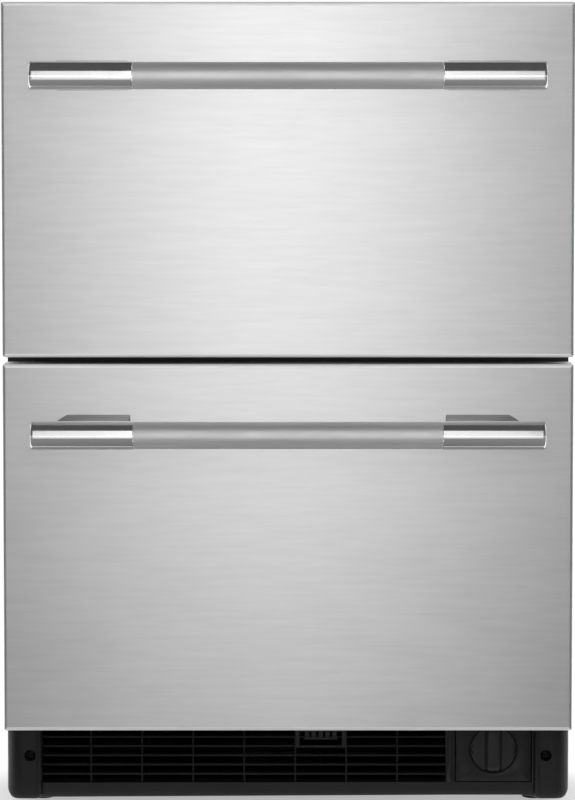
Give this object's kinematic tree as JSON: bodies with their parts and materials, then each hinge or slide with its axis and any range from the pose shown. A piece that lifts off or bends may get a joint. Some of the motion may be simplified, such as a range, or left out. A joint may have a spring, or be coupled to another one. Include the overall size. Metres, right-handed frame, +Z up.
{
  "type": "undercounter drawer refrigerator",
  "caption": "Undercounter refrigerator with stacked pull-out drawers, stainless fronts with bar handles, a black louvred base grille and a machine bay at the lower back.",
  "frame": {"origin": "on the floor, at the middle of the width and midway between the front of the handles and the back of the case", "axes": "+X to the right as seen from the front, +Y to the back, +Z up; the drawers open towards -Y"},
  "size_m": [0.606, 0.665, 0.867],
  "materials": {
    "stainless_front": "satin",
    "polished_steel": "polished",
    "satin_steel": "satin",
    "black_case": "satin",
    "zinc_steel": "satin",
    "black_moulding": "matte",
    "liner_white": "satin",
    "grey_moulding": "satin",
    "bin_clear_grey": "gloss",
    "gasket_grey": "matte",
    "foam_cream": "matte",
    "cast_black": "satin",
    "fin_aluminium": "satin",
    "lens_white": "satin",
    "white_moulding": "satin"
  },
  "bodies": {
    "cabinet": {"case_shell": "black_case", "case_back": "zinc_steel", "case_floor": "zinc_steel", "insulation": "foam_cream", "cabinet_liner": "liner_white", "centre_rail": "black_case", "base_pan": "black_case", "base_grille": "black_moulding", "grille_clip": "black_moulding", "grille_screw_left": "zinc_steel", "grille_screw_right": "zinc_steel", "access_panel": "black_moulding", "compressor": "cast_black", "drain_tray": "black_moulding", "condenser": "cast_black", "condenser_fan_shroud": "black_moulding", "machine_cover": "zinc_steel", "mains_gland": "black_moulding", "evaporator_cover": "white_moulding", "evaporator": "fin_aluminium", "control_housing": "grey_moulding", "light_cover": "lens_white", "upper_fixed_slide_left": "zinc_steel", "upper_fixed_slide_right": "zinc_steel", "lower_fixed_slide_left": "zinc_steel", "lower_fixed_slide_right": "zinc_steel"},
    "upper_drawer": {"upper_front_skin": "stainless_front", "upper_inner_panel": "liner_white", "upper_gasket": "gasket_grey", "upper_handle_bar": "satin_steel", "upper_handle_ferrule_left": "polished_steel", "upper_handle_ferrule_right": "polished_steel", "upper_handle_bracket_left": "satin_steel", "upper_handle_bracket_right": "satin_steel", "upper_drawer_frame": "zinc_steel", "upper_bin": "bin_clear_grey"},
    "upper_slides": {"upper_middle_slide_left": "zinc_steel", "upper_middle_slide_right": "zinc_steel"},
    "lower_drawer": {"lower_front_skin": "stainless_front", "lower_inner_panel": "liner_white", "lower_gasket": "gasket_grey", "lower_handle_bar": "satin_steel", "lower_handle_ferrule_left": "polished_steel", "lower_handle_ferrule_right": "polished_steel", "lower_handle_bracket_left": "satin_steel", "lower_handle_bracket_right": "satin_steel", "lower_drawer_frame": "zinc_steel", "lower_bin": "bin_clear_grey"},
    "lower_slides": {"lower_middle_slide_left": "zinc_steel", "lower_middle_slide_right": "zinc_steel"},
    "cap": {"access_cap": "black_moulding", "filter_cartridge": "white_moulding"},
    "warm_fan": {"condenser_fan": "black_moulding"},
    "cold_fan": {"evaporator_fan": "white_moulding"},
    "colder": {"colder_button": "white_moulding"},
    "warmer": {"warmer_button": "white_moulding"},
    "leg_front_left": {"front_left_leg": "black_moulding"},
    "leg_front_right": {"front_right_leg": "black_moulding"},
    "leg_rear_left": {"rear_left_leg": "black_moulding"},
    "leg_rear_right": {"rear_right_leg": "black_moulding"}
  },
  "joints": [
    {"name": "upper_drawer_slide", "type": "slide", "parent": "cabinet", "child": "upper_drawer", "axis": [0, -1, 0], "range_m": [0, 0.4]},
    {"name": "upper_middle_slide", "type": "slide", "parent": "cabinet", "child": "upper_slides", "axis": [0, -1, 0], "range_m": [0, 0.2]},
    {"name": "lower_drawer_slide", "type": "slide", "parent": "cabinet", "child": "lower_drawer", "axis": [0, -1, 0], "range_m": [0, 0.4]},
    {"name": "lower_middle_slide", "type": "slide", "parent": "cabinet", "child": "lower_slides", "axis": [0, -1, 0], "range_m": [0, 0.2]},
    {"name": "access_cap_turn", "type": "hinge", "parent": "cabinet", "child": "cap", "pos_m": [0.221, -0.235, 0.0652], "axis": [0, -1, 0], "range_deg": [0, 90]},
    {"name": "condenser_fan_spin", "type": "hinge", "parent": "cabinet", "child": "warm_fan", "pos_m": [0.128, 0.205, 0.104], "axis": [0, 1, 0], "continuous": true},
    {"name": "evaporator_fan_spin", "type": "hinge", "parent": "cabinet", "child": "cold_fan", "pos_m": [0, 0.266, 0.762], "axis": [0, 1, 0], "continuous": true},
    {"name": "colder_button_press", "type": "slide", "parent": "cabinet", "child": "colder", "axis": [0, 1, 0], "range_m": [0, 0.0012], "stiffness_N_per_m": 400, "springref_m": -0.001},
    {"name": "warmer_button_press", "type": "slide", "parent": "cabinet", "child": "warmer", "axis": [0, 1, 0], "range_m": [0, 0.0012], "stiffness_N_per_m": 400, "springref_m": -0.001},
    {"name": "front_left_leg_screw", "type": "slide", "parent": "cabinet", "child": "leg_front_left", "axis": [0, 0, -1], "range_m": [0, 0.025]},
    {"name": "front_right_leg_screw", "type": "slide", "parent": "cabinet", "child": "leg_front_right", "axis": [0, 0, -1], "range_m": [0, 0.025]},
    {"name": "rear_left_leg_screw", "type": "slide", "parent": "cabinet", "child": "leg_rear_left", "axis": [0, 0, -1], "range_m": [0, 0.025]},
    {"name": "rear_right_leg_screw", "type": "slide", "parent": "cabinet", "child": "leg_rear_right", "axis": [0, 0, -1], "range_m": [0, 0.025]}
  ],
  "couplings": [
    {"joint": "upper_middle_slide", "follows": "upper_drawer_slide", "ratio": 0.5},
    {"joint": "lower_middle_slide", "follows": "lower_drawer_slide", "ratio": 0.5}
  ]
}
